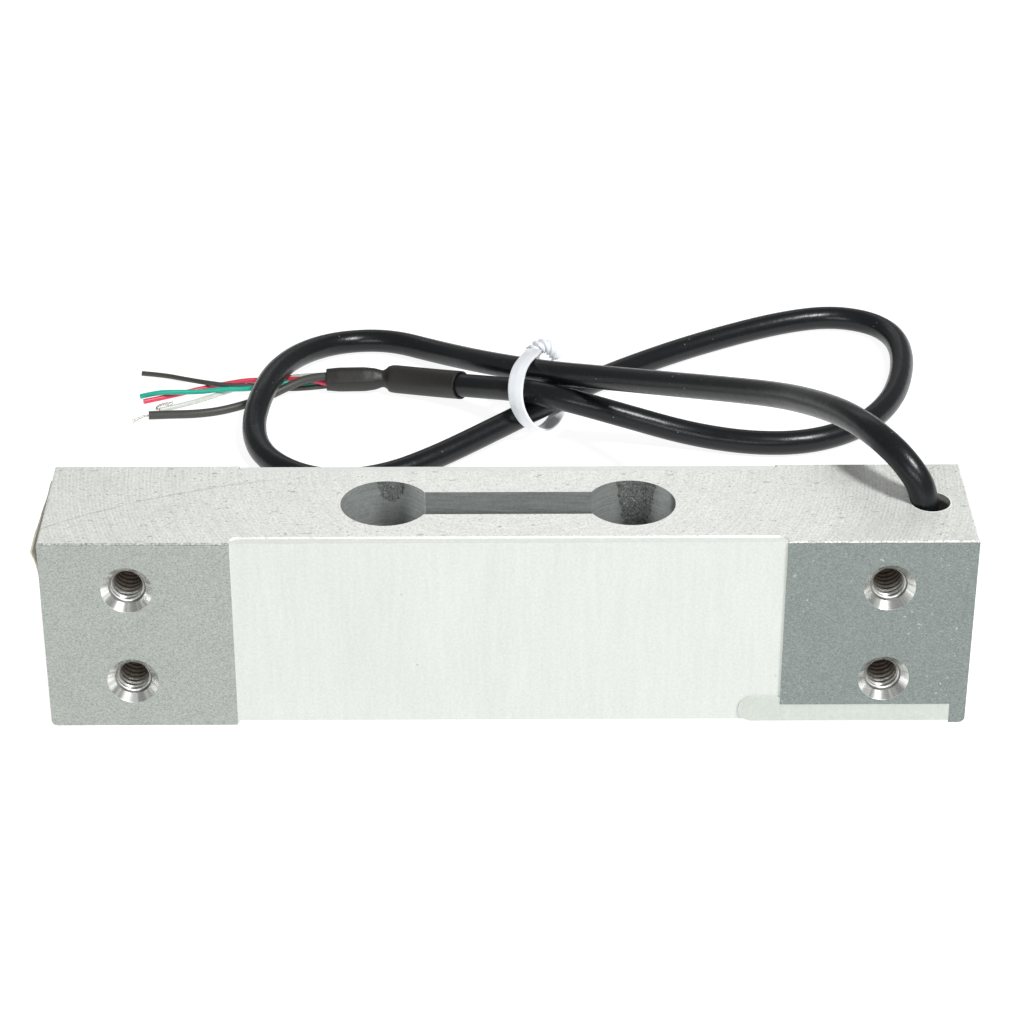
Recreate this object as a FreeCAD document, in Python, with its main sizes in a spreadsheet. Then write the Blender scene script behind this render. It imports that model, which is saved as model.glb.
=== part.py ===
"""Single point load cell: a machined aluminium bending beam with its bonded gauges, sealant, cable and wires.

Frame, in millimetres: X runs along the beam, Y across its gauge faces and Z up through the flexure bores.
The origin is in the middle of the bottom face, which the beam rests on. The two tapped mounting faces look
along -Y (front) and +Y (back). The cable leaves through the top face near the +X end.
"""
import FreeCAD, Part
import math
import os

import Sketcher
from FreeCAD import Placement, Rotation, Vector

doc = FreeCAD.newDocument("single_point_load_cell")
sheet = doc.addObject("Spreadsheet::Sheet", "size")

SIZES = {
    # the beam block
    "beam_length": 130.0, "beam_depth": 22.0, "beam_height": 30.0,
    "end_edge_radius": 0.9, "rim_chamfer": 0.25,
    # the flexure cut-out: two bores joined by a slot
    "bore_diameter": 12.6, "bore_spacing": 34.6, "slot_width": 6.2,
    # the gauge recess milled in the front and back faces
    "recess_length": 77.0, "recess_depth": 1.5, "recess_corner": 1.2,
    # tapped mounting holes, M6, through both faces
    "hole_inset": 12.0, "hole_pitch_high": 15.0, "thread_minor": 5.0, "sink_diameter": 7.3,
    # cable hole and the wire channel cut in the bottom face
    "cable_hole_inset": 5.5, "cable_hole_diameter": 5.6,
    "channel_height": 3.15, "channel_width": 3.0, "channel_end_wall": 2.3, "channel_cross_width": 6.0,
    # sealant over the gauges, and potting in the channel and the cable hole
    "sealant_below_pad": 0.25, "sealant_bottom": 0.6, "sealant_top_gap": 0.15,
    "potting_bottom": 0.35, "potting_below_pad": 0.05, "potting_top": 27.0,
    "lap_length": 5.9, "lap_height": 4.05,
    # strain gauges and what is bonded beside them
    "gauge_length": 9.0, "gauge_width": 6.4, "gauge_film": 0.12, "gauge_foil": 0.06,
    "bar_length": 5.2, "bar_width": 0.35, "bar_pitch": 0.7, "tab_size": 1.3,
    "terminal_length": 9.0, "terminal_width": 4.6, "terminal_thickness": 0.3, "pad_thickness": 0.06,
    "terminal_pad": 1.6, "terminal_drop": 8.5, "lead_width": 0.35,
    "resistor_length": 3.2, "resistor_width": 1.6, "resistor_thickness": 0.5, "resistor_gap": 2.4,
    # insulated wires inside the sealant and potting
    "bridge_wire_diameter": 0.6, "bridge_wire_pitch": 1.2, "bridge_wire_bend": 1.0, "wire_spread": 1.4,
    # blank film on the left end face
    "label_width": 20.0, "label_bottom": 3.0, "label_flat_top": 23.6, "label_lifted": 4.6,
    "label_lift": 0.95, "label_thickness": 0.15,
    # cable, heat-shrink sleeve, tail wires and tie
    "cable_diameter": 4.0, "cable_shift": 0.5,
    "sleeve_diameter": 4.84, "sleeve_wall": 0.36, "sleeve_neck": 2.9, "sleeve_bulge": 4.2,
    "wire_diameter": 0.84, "shield_diameter": 1.44, "strand_diameter": 0.3,
    "tie_width": 2.8, "tie_thickness": 0.7, "twist_diameter": 2.0,
}
for row, (alias, value) in enumerate(SIZES.items(), start=1):
    sheet.set(f"A{row}", alias)
    sheet.set(f"B{row}", str(value))
    sheet.setAlias(f"B{row}", alias)
doc.recompute()


def size(alias):
    """A driving dimension, read from the sheet."""
    return float(sheet.get(alias))


# ---------------------------------------------------------------- helpers

def new_body(label):
    body = doc.addObject("PartDesign::Body", label)
    body.Label = label
    body.AllowCompound = True
    return body


def new_sketch(body, name, plane, lift=None):
    """A sketch on one of the body's own origin planes, lifted along the plane's normal by an expression."""
    sketch = body.newObject("Sketcher::SketchObject", body.Name + "_" + name)
    origin_plane = next(f for f in body.Origin.OriginFeatures if f.Role == plane)
    sketch.AttachmentSupport = [(origin_plane, "")]
    sketch.MapMode = "FlatFace"
    if lift:
        sketch.setExpression("AttachmentOffset.Base.z", lift)
    return sketch


def bind(sketch, kind, refs, expression):
    """Adds a dimension to a sketch and ties it to the sheet."""
    index = sketch.addConstraint(Sketcher.Constraint(kind, *refs, 1.0))
    sketch.setExpression(f"Constraints[{index}]", expression)


def rectangle(sketch, left, right, low, high):
    """A rectangle whose four sides are tied to expressions, measured from the sketch's origin."""
    first = sketch.GeometryCount
    corner = [Vector(-1, -1, 0), Vector(1, -1, 0), Vector(1, 1, 0), Vector(-1, 1, 0)]
    for i in range(4):
        sketch.addGeometry(Part.LineSegment(corner[i], corner[(i + 1) % 4]), False)
    for i in range(4):
        sketch.addConstraint(Sketcher.Constraint("Coincident", first + i, 2, first + (i + 1) % 4, 1))
    for side in (first, first + 2):
        sketch.addConstraint(Sketcher.Constraint("Horizontal", side))
    for side in (first + 1, first + 3):
        sketch.addConstraint(Sketcher.Constraint("Vertical", side))
    bind(sketch, "DistanceX", (-1, 1, first, 1), left)
    bind(sketch, "DistanceX", (-1, 1, first + 1, 1), right)
    bind(sketch, "DistanceY", (-1, 1, first, 1), low)
    bind(sketch, "DistanceY", (-1, 1, first + 2, 1), high)


def circle(sketch, across, up, diameter):
    """A circle whose centre and diameter are tied to expressions."""
    index = sketch.addGeometry(Part.Circle(Vector(1, 1, 0), Vector(0, 0, 1), 1.0), False)
    bind(sketch, "DistanceX", (-1, 1, index, 3), across)
    bind(sketch, "DistanceY", (-1, 1, index, 3), up)
    bind(sketch, "Diameter", (index,), diameter)


def pad(body, sketch, length, midplane=False):
    feature = body.newObject("PartDesign::Pad", sketch.Name + "_pad")
    feature.Profile = sketch
    feature.setExpression("Length", length)
    feature.Midplane = midplane
    body.Tip = feature
    doc.recompute()
    return feature


def pocket(body, sketch, depth=None):
    """Cuts right through, or upwards from the sketch by a depth."""
    before = body.Shape.Volume
    feature = body.newObject("PartDesign::Pocket", sketch.Name + "_pocket")
    feature.Profile = sketch
    if depth:
        feature.setExpression("Length", depth)
        feature.Reversed = True
    else:
        feature.Type = "ThroughAll"
        feature.Midplane = True
    body.Tip = feature
    doc.recompute()
    if body.Shape.Volume > before - 1e-3:
        raise RuntimeError(f"{feature.Name} cuts nothing")
    return feature


def dress(body, kind, name, test, amount):
    """A fillet or chamfer on the edges of the body's tip that pass the test."""
    tip = body.Tip
    names = [f"Edge{i}" for i, edge in enumerate(tip.Shape.Edges, start=1) if test(edge)]
    feature = body.newObject(f"PartDesign::{kind}", body.Name + "_" + name)
    feature.Base = (tip, names)
    feature.setExpression("Radius" if kind == "Fillet" else "Size", amount)
    body.Tip = feature
    doc.recompute()
    return feature


def near(a, b, within=1e-3):
    return abs(a - b) < within


def stands_at(edge, x, y):
    """True for a straight upright edge at a place in plan."""
    box = edge.BoundBox
    return near(abs(box.Center.x), x) and near(abs(box.Center.y), y) and box.XLength + box.YLength < 1e-3


def place(obj, x=None, y=None, z=None, turned=False):
    """Ties an object's placement to expressions; turned swings it round to the back face."""
    if turned:
        obj.Placement = Placement(Vector(), Rotation(Vector(0, 0, 1), 180))
    for axis, expression in (("x", x), ("y", y), ("z", z)):
        if expression:
            obj.setExpression(f"Placement.Base.{axis}", expression)


def fused(name, members):
    group = doc.addObject("Part::MultiFuse", name)
    group.Shapes = members
    return group


def cut(label, base, tools):
    """The base with the room of each tool taken out of it, one after the other."""
    for tool in tools:
        feature = doc.addObject("Part::Cut", f"{label}_less_{tool.Name}")
        feature.Base = base
        feature.Tool = tool
        base = feature
    base.Label = label
    return base


def solid_feature(label, shape):
    feature = doc.addObject("Part::Feature", label)
    feature.Label = label
    feature.Shape = shape
    return feature


def rounded_wire(points, radius=None):
    """Straight runs joined by tangent arcs. With no radius given, each arc is as large as its runs allow.

    Returns the wire and the radius at each inner point.
    """
    points = [Vector(*p) for p in points]
    edges, radii, last = [], [], points[0]
    for before, corner, after in zip(points, points[1:], points[2:]):
        back, ahead = before - corner, after - corner
        half_turn = (math.pi - back.getAngle(ahead)) / 2
        reach = 0.45 * min(back.Length, ahead.Length)
        if radius:
            reach = min(reach, radius * math.tan(half_turn))
        turn_radius = reach / math.tan(half_turn)
        start = corner + Vector(back).normalize() * reach
        end = corner + Vector(ahead).normalize() * reach
        inward = (Vector(back).normalize() + Vector(ahead).normalize()).normalize()
        middle = corner + inward * (turn_radius / math.cos(half_turn) - turn_radius)
        edges += [Part.LineSegment(last, start).toShape(), Part.Arc(start, middle, end).toShape()]
        radii.append(turn_radius)
        last = end
    edges.append(Part.LineSegment(last, points[-1]).toShape())
    return Part.Wire(edges), radii


def tube(label, points, diameter, radius=None):
    """A round cord, wire or sleeve along a rounded route, with its volume checked against its length."""
    spine, radii = rounded_wire(points, radius)
    start = spine.Edges[0]
    ring = Part.makeCircle(diameter / 2, start.Vertexes[0].Point, start.tangentAt(start.FirstParameter))
    shape = spine.makePipeShell([Part.Wire([ring])], True, False)
    expected = math.pi * diameter ** 2 / 4 * spine.Length
    if abs(shape.Volume / expected - 1) > 0.01:
        raise RuntimeError(f"{label}: volume {shape.Volume:.2f}, expected {expected:.2f}")
    print(f"{label}: length {spine.Length:.1f}, tightest radius {min(radii):.1f}" if radii else label)
    return shape


# expressions that several pieces share
HALF_LENGTH = "size.beam_length / 2"
HALF_DEPTH = "size.beam_depth / 2"
HALF_RECESS = "size.recess_length / 2"
FLOOR = "(size.beam_depth / 2 - size.recess_depth)"
SEALANT_FACE = "(size.beam_depth / 2 - size.sealant_below_pad)"
CABLE_HOLE = "size.beam_length / 2 - size.cable_hole_inset"
CHANNEL_START = "(size.recess_length / 2 - size.recess_corner)"
CHANNEL_END = "(size.beam_length / 2 - size.channel_end_wall)"
CHANNEL_INSIDE = "(size.beam_depth / 2 - size.channel_width)"
SIDES = {"front": False, "back": True}


# ---------------------------------------------------------------- the beam

def channel_profile(sketch, face):
    """The U of the wire channel in plan: an arm along each face and a cross piece under the cable hole."""
    inner = f"{CHANNEL_END} - size.channel_cross_width"
    path = [(CHANNEL_START, "-" + face), (CHANNEL_END, "-" + face), (CHANNEL_END, face),
            (CHANNEL_START, face), (CHANNEL_START, CHANNEL_INSIDE), (inner, CHANNEL_INSIDE),
            (inner, "-" + CHANNEL_INSIDE), (CHANNEL_START, "-" + CHANNEL_INSIDE)]
    rough = [(3, -4), (9, -4), (9, 4), (3, 4), (3, 2), (6, 2), (6, -2), (3, -2)]
    count = len(path)
    for i in range(count):
        ends = (Vector(*rough[i], 0), Vector(*rough[(i + 1) % count], 0))
        sketch.addGeometry(Part.LineSegment(*ends), False)
    for i in range(count):
        sketch.addConstraint(Sketcher.Constraint("Coincident", i, 2, (i + 1) % count, 1))
    for i, (across, up) in enumerate(path):
        bind(sketch, "DistanceX", (-1, 1, i, 1), across)
        bind(sketch, "DistanceY", (-1, 1, i, 1), up)


def make_beam():
    body = new_body("beam")
    block = new_sketch(body, "block", "XY_Plane")
    rectangle(block, "-" + HALF_LENGTH, HALF_LENGTH, "-" + HALF_DEPTH, HALF_DEPTH)
    pad(body, block, "size.beam_height")

    recess = new_sketch(body, "recess", "XY_Plane")
    rectangle(recess, "-" + HALF_RECESS, HALF_RECESS, "-" + HALF_DEPTH + " - 1", "-" + FLOOR)
    rectangle(recess, "-" + HALF_RECESS, HALF_RECESS, FLOOR, HALF_DEPTH + " + 1")
    pocket(body, recess)
    floor = size("beam_depth") / 2 - size("recess_depth")
    dress(body, "Fillet", "recess_corners", lambda e: stands_at(e, size("recess_length") / 2, floor),
          "size.recess_corner")

    bores = new_sketch(body, "bores", "XY_Plane")
    for sign in ("-", ""):
        circle(bores, sign + "size.bore_spacing / 2", "0", "size.bore_diameter")
    pocket(body, bores)
    slot = new_sketch(body, "slot", "XY_Plane")
    rectangle(slot, "-size.bore_spacing / 2", "size.bore_spacing / 2", "-size.slot_width / 2",
              "size.slot_width / 2")
    pocket(body, slot)

    holes = new_sketch(body, "mounting_holes", "XZ_Plane")
    for sign in ("-", ""):
        for above in ("-", "+"):
            circle(holes, sign + "(size.beam_length / 2 - size.hole_inset)",
                   f"size.beam_height / 2 {above} size.hole_pitch_high / 2", "size.thread_minor")
    pocket(body, holes)
    dress(body, "Chamfer", "countersinks",
          lambda e: e.Curve.TypeId == "Part::GeomCircle" and near(e.Curve.Radius, size("thread_minor") / 2)
          and near(abs(e.BoundBox.Center.y), size("beam_depth") / 2) and e.BoundBox.YLength < 1e-3,
          "(size.sink_diameter - size.thread_minor) / 2")

    channel = new_sketch(body, "channel", "XY_Plane")
    channel_profile(channel, "(size.beam_depth / 2 + 1)")
    pocket(body, channel, "size.channel_height")
    cable_hole = new_sketch(body, "cable_hole", "XY_Plane")
    circle(cable_hole, CABLE_HOLE, "0", "size.cable_hole_diameter")
    pocket(body, cable_hole)

    def end_edge(edge):
        box = edge.BoundBox
        return (near(abs(box.Center.x), size("beam_length") / 2) and near(box.ZMax, 0)
                and box.XLength + box.ZLength < 1e-3)

    dress(body, "Fillet", "end_edges", end_edge, "size.end_edge_radius")

    def rim_edge(edge):
        box = edge.BoundBox
        outside = abs(box.Center.y) > floor - 1 or abs(box.Center.x) > size("beam_length") / 2 - 1e-3
        return near(box.ZMin, size("beam_height")) and near(box.ZMax, size("beam_height")) and outside

    dress(body, "Chamfer", "rim", rim_edge, "size.rim_chamfer")
    return body


# ---------------------------------------------------------------- gauges and what is wired to them

def make_gauge(label, across, turned):
    """A foil gauge on its film: parallel grid bars with a solder tab at each end of the bundle."""
    body = new_body(label)
    film = new_sketch(body, "film", "XZ_Plane")
    rectangle(film, "-size.gauge_length / 2", "size.gauge_length / 2", "-size.gauge_width / 2",
              "size.gauge_width / 2")
    pad(body, film, "size.gauge_film")
    foil = new_sketch(body, "foil", "XZ_Plane", "size.gauge_film")
    for step in (-2, -1, 0, 1, 2):
        middle = f"{step} * size.bar_pitch"
        rectangle(foil, "-size.bar_length / 2", "size.bar_length / 2",
                  f"{middle} - size.bar_width / 2", f"{middle} + size.bar_width / 2")
    for sign in ("-", ""):
        inner = "size.bar_length / 2 + 0.1"
        outer = f"{inner} + size.tab_size"
        low, high = (f"-({outer})", f"-({inner})") if sign else (inner, outer)
        rectangle(foil, low, high, "-size.tab_size / 2", "size.tab_size / 2")
    pad(body, foil, "size.gauge_foil")
    place(body, across, FLOOR if turned else "-" + FLOOR, "size.beam_height / 2", turned)
    return body


TERMINAL_HEIGHT = "(size.beam_height / 2 - size.terminal_drop)"


def make_terminal(label, turned):
    """The little board where gauge leads and bridge wires are soldered together."""
    body = new_body(label)
    board = new_sketch(body, "board", "XZ_Plane")
    rectangle(board, "-size.terminal_length / 2", "size.terminal_length / 2", "-size.terminal_width / 2",
              "size.terminal_width / 2")
    pad(body, board, "size.terminal_thickness")
    copper = new_sketch(body, "copper", "XZ_Plane", "size.terminal_thickness")
    for step in (-1, 0, 1):
        middle = f"{step} * size.terminal_length / 3"
        rectangle(copper, f"{middle} - size.terminal_pad / 2", f"{middle} + size.terminal_pad / 2",
                  "-size.terminal_pad", "size.terminal_pad")
    pad(body, copper, "size.pad_thickness")
    place(body, None, FLOOR if turned else "-" + FLOOR, TERMINAL_HEIGHT, turned)
    return body


def make_leads(label, turned):
    """Flat ribbons along the recess floor, from each gauge's inner tab to the board's upper edge."""
    body = new_body(label)
    ribbon = new_sketch(body, "ribbon", "XZ_Plane")
    tab = "(size.bore_spacing / 2 - size.gauge_length / 2)"
    for sign in ("-", ""):
        near_side = "size.terminal_length / 3"
        path = [(near_side, f"{TERMINAL_HEIGHT} + size.terminal_width / 2"),
                (f"{near_side} + size.lead_width", f"{TERMINAL_HEIGHT} + size.terminal_width / 2"),
                (f"{near_side} + size.lead_width", "size.beam_height / 2 - size.lead_width / 2"),
                (tab, "size.beam_height / 2 - size.lead_width / 2"),
                (tab, "size.beam_height / 2 + size.lead_width / 2"),
                (near_side, "size.beam_height / 2 + size.lead_width / 2")]
        rough = [(3, 9), (4, 9), (4, 14), (12, 14), (12, 16), (3, 16)]
        way = -1 if sign else 1
        first = ribbon.GeometryCount
        for i in range(6):
            ends = [Vector(way * across, up, 0) for across, up in (rough[i], rough[(i + 1) % 6])]
            ribbon.addGeometry(Part.LineSegment(*ends), False)
        for i in range(6):
            ribbon.addConstraint(Sketcher.Constraint("Coincident", first + i, 2, first + (i + 1) % 6, 1))
        for i, (across, up) in enumerate(path):
            bind(ribbon, "DistanceX", (-1, 1, first + i, 1), f"-({across})" if sign else across)
            bind(ribbon, "DistanceY", (-1, 1, first + i, 1), up)
    pad(body, ribbon, "size.gauge_film")
    place(body, None, FLOOR if turned else "-" + FLOOR, None, turned)
    return body


def make_resistor(label, turned):
    """A chip resistor beside the board that trims the bridge."""
    box = doc.addObject("Part::Box", label)
    box.Label = label
    box.setExpression("Length", "size.resistor_length")
    box.setExpression("Width", "size.resistor_thickness")
    box.setExpression("Height", "size.resistor_width")
    left = "-size.terminal_length / 2 - size.resistor_gap"
    if turned:
        place(box, left, f"{FLOOR} + size.resistor_thickness", TERMINAL_HEIGHT, True)
    else:
        place(box, f"{left} - size.resistor_length", f"-{FLOOR} - size.resistor_thickness", TERMINAL_HEIGHT)
    return box


def make_bridge_wire(label, turned, level):
    """An insulated wire from the board, through the sealant and the channel, up the cable hole."""
    radius = size("bridge_wire_diameter") / 2
    way = 1 if turned else -1
    floor = size("beam_depth") / 2 - size("recess_depth")
    out = floor + size("terminal_thickness") + size("pad_thickness") + radius
    board = size("beam_height") / 2 - size("terminal_drop")
    start_up = board + (level - 0.5) * size("bridge_wire_pitch")
    run_up = size("potting_bottom") + size("bridge_wire_pitch") * (level + 0.65)
    up_x = size("beam_length") / 2 - size("cable_hole_inset") + (level - 0.5) * size("wire_spread")
    up_y = way * size("wire_spread") / 2
    bend_x = size("recess_length") / 2 - 8
    points = [(size("terminal_length") / 3, way * out, start_up),
              (bend_x - 3 * (1 - level), way * out, start_up),
              (bend_x + 3 - 3 * (1 - level), way * out, run_up),
              (up_x, way * out, run_up), (up_x, up_y, run_up), (up_x, up_y, CABLE_START)]
    return solid_feature(label, tube(label, points, 2 * radius, size("bridge_wire_bend")))


# ---------------------------------------------------------------- sealant and potting

def make_sealant(side, turned, held):
    """White sealant that fills a gauge recess nearly flush and closes round everything bonded in it."""
    body = new_body(side + "_sealant_fill")
    outline = new_sketch(body, "outline", "XY_Plane", "size.sealant_bottom")
    rectangle(outline, "-" + HALF_RECESS, HALF_RECESS, "-" + SEALANT_FACE, "-" + FLOOR)
    pad(body, outline, "size.beam_height - size.sealant_bottom - size.sealant_top_gap")
    floor = size("beam_depth") / 2 - size("recess_depth")
    dress(body, "Fillet", "ends", lambda e: stands_at(e, size("recess_length") / 2, floor),
          "size.recess_corner")
    place(body, turned=turned)
    return cut(side + "_sealant", body, held), body


def make_potting(sealants, held):
    """Cream potting: it fills the channel and the cable hole round the wires and laps over the sealant."""
    fill = new_body("channel_fill")
    outline = new_sketch(fill, "outline", "XY_Plane", "size.potting_bottom")
    channel_profile(outline, "(size.beam_depth / 2 - size.potting_below_pad)")
    pad(fill, outline, "size.channel_height - size.potting_bottom")

    lap = new_body("potting_lap")
    face = new_sketch(lap, "face", "XZ_Plane", SEALANT_FACE)
    rectangle(face, f"{HALF_RECESS} - size.lap_length", HALF_RECESS, "size.potting_bottom",
              "size.potting_bottom + size.lap_height")
    pad(lap, face, "size.sealant_below_pad - size.potting_below_pad")
    end = size("recess_length") / 2 - size("lap_length")
    dress(lap, "Fillet", "round_end", lambda e: near(e.BoundBox.Center.x, end) and e.BoundBox.YLength > 0.05
          and e.BoundBox.XLength + e.BoundBox.ZLength < 1e-3, "size.lap_height / 2 - 0.05")

    plug = doc.addObject("Part::Cylinder", "cable_hole_plug")
    plug.setExpression("Radius", "size.cable_hole_diameter / 2")
    plug.setExpression("Height", "size.potting_top - size.channel_height")
    place(plug, CABLE_HOLE, None, "size.channel_height")

    return cut("channel_potting", fused("potting_whole", [fill, lap, plug]), sealants + held)


def make_end_label():
    """A blank film stuck to the left end face, its top edge sprung away in a shallow curl."""
    body = new_body("end_label")
    face, bottom, top = -size("beam_length") / 2, size("label_bottom"), size("label_flat_top")
    film, lifted, lift = size("label_thickness"), size("label_lifted"), size("label_lift")
    swing = 2 * math.atan2(lift, lifted)
    outer = lifted / math.sin(swing)
    centre = Vector(face - outer, top, 0)

    def on(radius, angle):
        return centre + Vector(radius * math.cos(angle), radius * math.sin(angle), 0)

    profile = new_sketch(body, "profile", "XZ_Plane")
    inner = outer - film
    edges = [Part.LineSegment(Vector(face, bottom, 0), Vector(face, top, 0)),
             Part.Arc(on(outer, 0), on(outer, swing / 2), on(outer, swing)),
             Part.LineSegment(on(outer, swing), on(inner, swing)),
             Part.Arc(on(inner, swing), on(inner, swing / 2), on(inner, 0)),
             Part.LineSegment(Vector(face - film, top, 0), Vector(face - film, bottom, 0)),
             Part.LineSegment(Vector(face - film, bottom, 0), Vector(face, bottom, 0))]
    profile.addGeometry(edges, False)
    pad(body, profile, "size.label_width", midplane=True)
    return body


# ---------------------------------------------------------------- cable, sleeve, tail wires and tie

# The route of the cable's middle, from inside its hole, twice through the tie, to its stripped end.
CABLE_START = 25.5
EXIT = size("beam_length") / 2 - size("cable_hole_inset") - size("cable_shift")
CABLE_ROUTE = [
    (EXIT, 0, CABLE_START), (EXIT, 0, size("beam_height") + 1), (55.9, 2.2, 35.4), (52.2, 7.8, 36.8),
    (49.2, 15.4, 35.6), (45.8, 25, 32.4), (41.6, 36, 28), (34.5, 47.4, 23), (26, 59, 17.9),
    (16.5, 70.1, 13.2), (7, 79.4, 9.4), (-3, 89.9, 5.8), (-11.8, 100.6, 2.5), (-20, 106.2, 2),
    (-28.7, 105.4, 2.1), (-35, 99.2, 3.2), (-39, 90.6, 4.2), (-41, 81.8, 4.1), (-42, 73.2, 2.7),
    (-40.2, 65.2, 2), (-35, 58.6, 2), (-27.8, 55.4, 2), (-19.4, 57.4, 2), (-11.4, 63.4, 2.1),
    (-2.6, 70.9, 2.8), (6, 78.7, 3.4), (16, 90, 2.6), (29.2, 101.2, 2), (42, 109, 2), (51.2, 113.3, 2),
    (58.6, 114.9, 2), (64.9, 112.8, 2), (68.5, 108.2, 2), (69.5, 101.2, 2), (68.3, 91.8, 2), (65.2, 82, 2),
    (59.4, 73.6, 2), (50.6, 68.4, 2), (41, 68, 2), (31, 70.8, 2.2), (20.8, 72, 4.8), (12.2, 71.6, 7.8),
    (4, 75.4, 8.1), (-4.2, 83.3, 4.7), (-12.4, 88.8, 2.6), (-19.6, 90.7, 2.45)]
# Where the heat-shrink sleeve begins on the jacket, and where it ends round the wires.
SLEEVE_START = (-6.6, 84.91, 4.09)
SLEEVE_END = (-30.4, 90.9, 2.2)
# Each tail wire leaves the sleeve at its own place in the bundle and lies on the floor to its cut end.
WIRE_ROUTES = {
    "wire_red": [
        (-20.4, 90.1, 2.43), (-22.2, 90.13, 2.38), (-24.8, 89.91, 1.72), (-29.8, 89.98, 1.66),
        (-32.6, 91.2, 1.8), (-35.4, 92.4, 1.57), (-39.2, 92.9, 1), (-43.6, 92.2, 1.5), (-47.6, 91.7, 1.05),
        (-52, 90.9, 0.5), (-56.8, 88.4, 0.45), (-61.4, 86.3, 0.45)],
    "wire_green": [
        (-20.4, 91.33, 2.43), (-22.2, 91.37, 2.34), (-24.8, 91.54, 1.52), (-29.8, 91.55, 1.36),
        (-32.8, 91.9, 0.72), (-35.2, 92, 0.55), (-37.4, 91.35, 1.4), (-40, 90.2, 1.6), (-43.6, 89.2, 1.25),
        (-48, 88.8, 1.5), (-52, 88.4, 1.15), (-55.6, 87.9, 1.4), (-59, 87.5, 1.6), (-62.1, 87.9, 0.6)],
    "wire_black": [
        (-20.4, 90.71, 1.81), (-22.2, 90.75, 1.76), (-24.8, 90.67, 1.22), (-29.8, 90.76, 1.06),
        (-32.8, 90.95, 0.6), (-36.2, 90.75, 0.45), (-39.6, 91, 0.45), (-43.2, 90.4, 1.3), (-47.2, 90, 1.5),
        (-51.2, 90.8, 1.7), (-55, 93.7, 0.85), (-58.8, 96, 0.45), (-62.7, 96.7, 0.45)],
    "wire_white": [
        (-20.4, 90.71, 3.05), (-22.2, 90.72, 3.06), (-24.8, 91.84, 2.7), (-29.8, 91.88, 2.6),
        (-34, 93.2, 1.8), (-38.2, 94.4, 0.6), (-42.6, 93.1, 0.45), (-47, 90.3, 0.45), (-51.2, 87.1, 0.45),
        (-54.8, 84.9, 0.45), (-58.4, 83.2, 0.45)],
    "shield_sleeve": [
        (-26.2, 90.66, 3.08), (-28.2, 90.7, 3.02), (-31, 90.6, 2.94), (-34.2, 90.2, 2.6),
        (-37.4, 88.8, 1.7), (-40.6, 86.7, 0.95), (-44.2, 84.4, 0.74), (-48.2, 82.2, 0.74),
        (-52.4, 81.2, 0.74), (-56.4, 81.1, 0.74), (-60, 80.8, 0.74)]}
STRAND_ROUTES = {
    "drain_strand": [
        (-60, 80.8, 0.74), (-61.2, 80.7, 0.74), (-62.6, 79.4, 0.3)],
    "white_strand": [
        (-58.4, 83.2, 0.45), (-59.8, 82.54, 0.4), (-60.6, 84.3, 0.3), (-59.2, 85.6, 0.3)]}
# The middle of the tie's strip: over the three strands, down their front, under them and back up.
TIE_ROUTE = [
    (5.2, 86.6, 11.5), (4.8, 83.2, 11.3), (2.5, 78.5, 11.1), (1.7, 72.6, 10.6), (1.8, 70.8, 8.4),
    (2.6, 70.7, 6), (4.1, 71.7, 3.2), (6.4, 75, 0.78), (8.5, 79.3, 0.53), (9.3, 83.4, 0.5),
    (6.7, 87.9, 0.74), (4.9, 90.3, 3.4), (4.5, 90, 8.2), (5.1, 88.3, 11.5)]
TIE_ACROSS = Vector(0.84, -0.52, 0.14)
TWIST_ROUTE = [(5.2, 87.5, 11.6), (6.1, 88, 13.5), (8.7, 87.9, 14), (10.4, 87.3, 12.2)]


def make_cable():
    spine, radii = rounded_wire(CABLE_ROUTE)
    print("cable radii:", " ".join(f"{radius:.1f}" for radius in radii))
    return solid_feature("cable", tube("cable", CABLE_ROUTE, size("cable_diameter")))


def make_heat_shrink(cable):
    """The sleeve: tight on the jacket, drawn in past the jacket's end, swollen over the wires, open there."""
    diameter, bend = size("sleeve_diameter"), rounded_wire(CABLE_ROUTE)[1][-1]
    jacket_end = CABLE_ROUTE[-1]
    grip = tube("heat_shrink grip", [SLEEVE_START, CABLE_ROUTE[-2], jacket_end], diameter, bend)

    # the outline past the jacket's end: distance along the axis, and radius
    axis = Vector(*SLEEVE_END) - Vector(*jacket_end)
    neck, bulge, wall = size("sleeve_neck") / 2, size("sleeve_bulge") / 2, size("sleeve_wall")
    outside = [(-0.8, diameter / 2), (0, diameter / 2 - 0.1), (0.8, neck), (1.3, neck),
               (3.2, bulge - 0.15), (4.4, bulge), (axis.Length, bulge)]
    cavity = [(0, neck - wall)] + [(distance, radius - wall) for distance, radius in outside[2:]]

    def turned_body(profile):
        corners = [Vector(radius, 0, distance) for distance, radius in profile]
        corners += [Vector(0, 0, corners[-1].z), Vector(0, 0, corners[0].z), corners[0]]
        solid = Part.Face(Part.makePolygon(corners)).revolve(Vector(), Vector(0, 0, 1), 360)
        solid.Placement = Placement(Vector(*jacket_end), Rotation(Vector(0, 0, 1), axis))
        return solid

    shell = grip.fuse(turned_body(outside)).cut(turned_body(cavity)).cut(cable.Shape).removeSplitter()
    return solid_feature("heat_shrink", max(shell.Solids, key=lambda s: s.Volume))


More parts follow.
